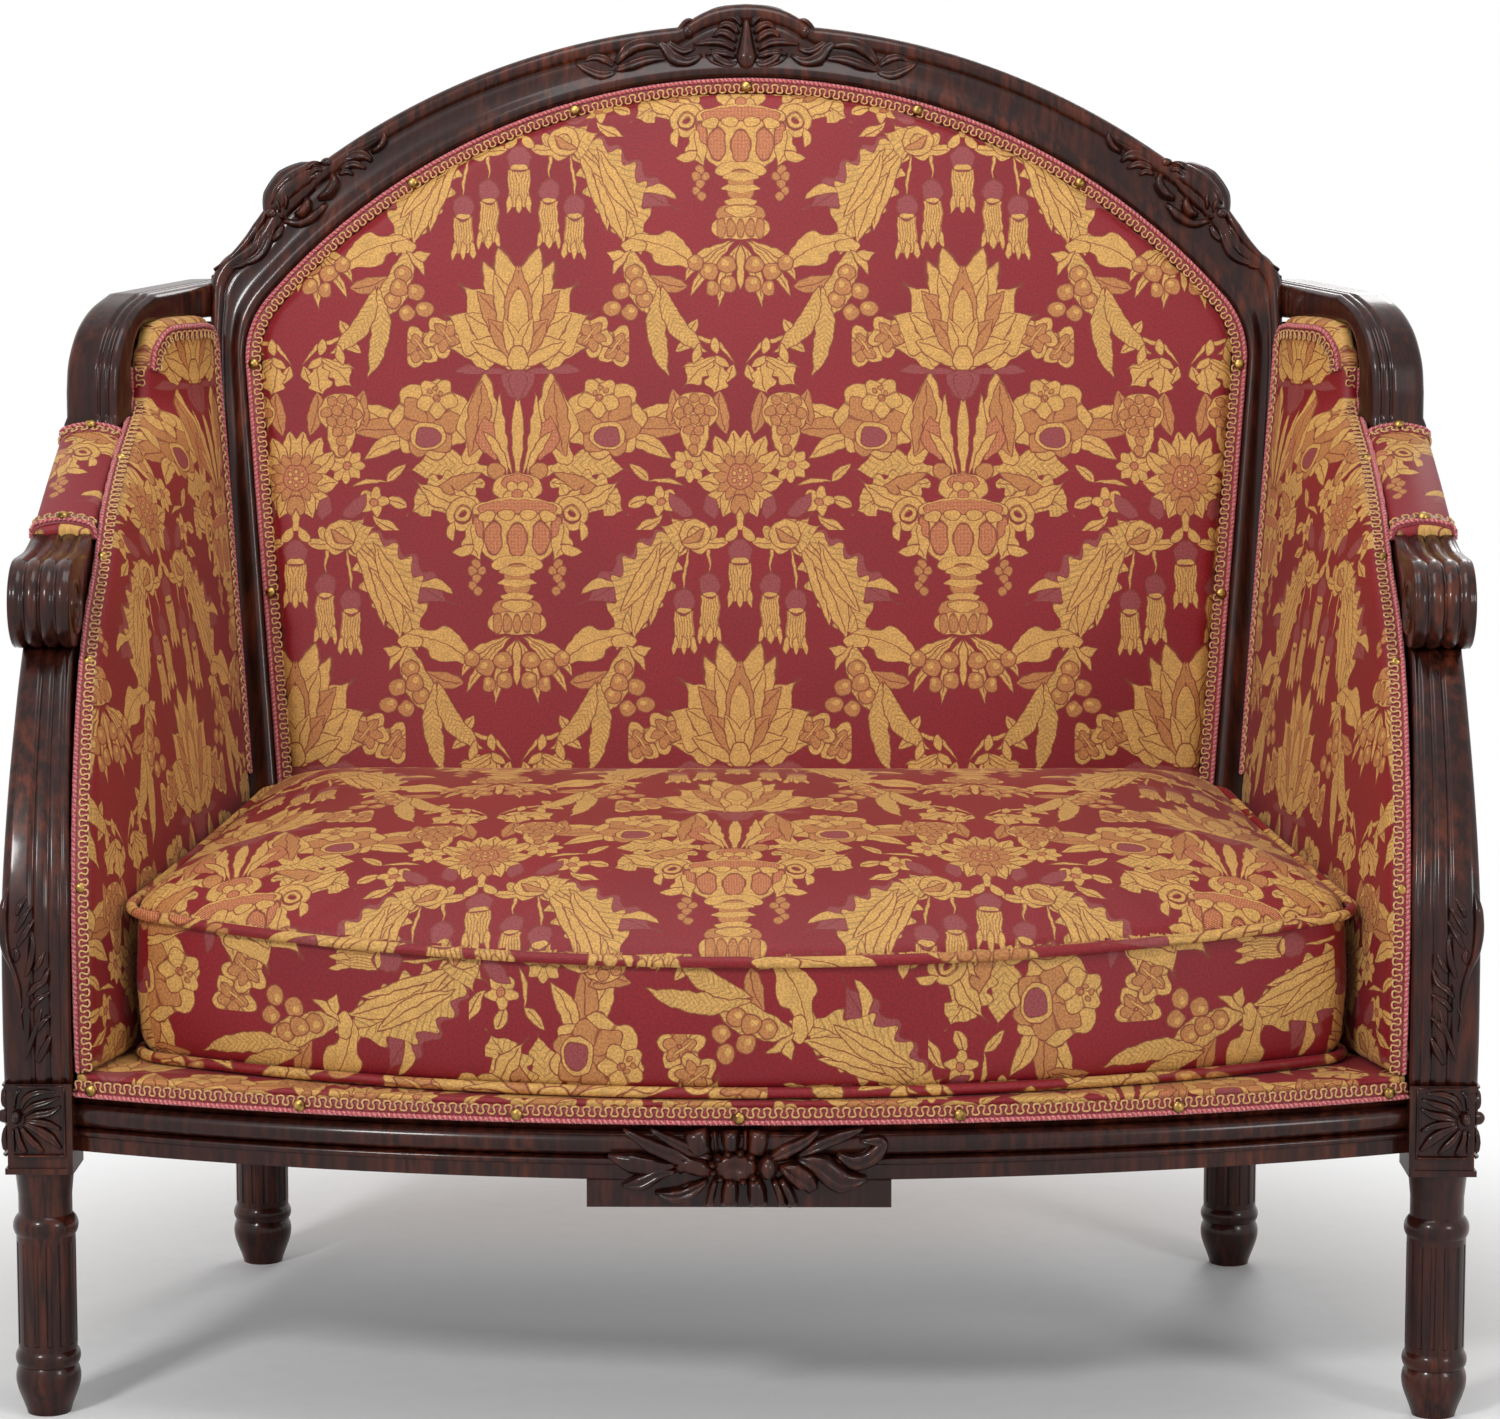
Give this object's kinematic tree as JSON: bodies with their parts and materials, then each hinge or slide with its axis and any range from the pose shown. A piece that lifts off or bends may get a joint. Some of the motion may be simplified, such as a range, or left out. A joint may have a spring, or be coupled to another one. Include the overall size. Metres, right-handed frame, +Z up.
{
  "type": "loveseat",
  "caption": "Carved show-wood loveseat with arched back, padded arms, upholstered sides and one loose bow-front seat cushion with welts.",
  "frame": {"origin": "on the floor under the middle of the loveseat's bounding box", "axes": "+X to the right as seen from the front, +Y to the back, +Z up"},
  "size_m": [1.228, 0.7929, 1.1818],
  "materials": {
    "show_wood": "dark mahogany, semi-gloss polish",
    "frame_wood": "raw beech, sanded",
    "damask": "crimson and gold figured damask",
    "lining": "plain woven lining",
    "webbing": "jute webbing",
    "gimp": "looped gold braid",
    "welt": "cloth-covered piping cord",
    "nail": "antique brass",
    "screw": "plain steel",
    "foam": "cushion filling",
    "zip_tape": "woven tape with plastic teeth",
    "zip_metal": "antique brass"
  },
  "bodies": {
    "frame": {"front_leg_left": "show_wood", "front_leg_right": "show_wood", "back_leg_left": "show_wood", "back_leg_right": "show_wood", "corner_block_left": "show_wood", "corner_block_right": "show_wood", "front_rail": "show_wood", "apron_block": "show_wood", "side_rail_left": "show_wood", "side_rail_right": "show_wood", "seat_back_rail": "show_wood", "back_stile_left": "show_wood", "back_stile_right": "show_wood", "back_bottom_rail": "show_wood", "crest_rail": "show_wood", "arm_post_left": "show_wood", "arm_post_right": "show_wood", "arm_left": "show_wood", "arm_right": "show_wood", "wing_rail_left": "show_wood", "wing_rail_right": "show_wood", "frame_dowels": "frame_wood", "corner_braces": "frame_wood", "back_pad": "damask", "back_outer_cover": "damask", "side_pad_left": "damask", "side_pad_right": "damask", "side_outer_cover_left": "damask", "side_outer_cover_right": "damask", "arm_pad_left": "damask", "arm_pad_right": "damask", "deck_pad": "lining", "dust_cover": "lining", "seat_webbing": "webbing", "back_webbing": "webbing", "side_webbing_left": "webbing", "side_webbing_right": "webbing", "gimp_back": "gimp", "gimp_outer_back": "gimp", "gimp_front_rail": "gimp", "gimp_side_left": "gimp", "gimp_side_right": "gimp", "gimp_arm_left": "gimp", "gimp_arm_right": "gimp", "nails_back": "nail", "nails_front_rail": "nail", "nails_sides": "nail", "nails_arms": "nail", "brace_screws": "screw"},
    "seat_cushion": {"cushion_cover": "damask", "cushion_foam": "foam", "cushion_welt_top": "welt", "cushion_welt_bottom": "welt", "cushion_zip": "zip_tape"},
    "zip_slider": {"zip_slider": "zip_metal"}
  },
  "joints": [
    {"name": "cushion_lift", "type": "slide", "parent": "frame", "child": "seat_cushion", "axis": [0, 0, 1], "range_m": [0, 0.6]},
    {"name": "zip_slide", "type": "slide", "parent": "seat_cushion", "child": "zip_slider", "axis": [1, 0, 0], "range_m": [0, 0.38]}
  ]
}
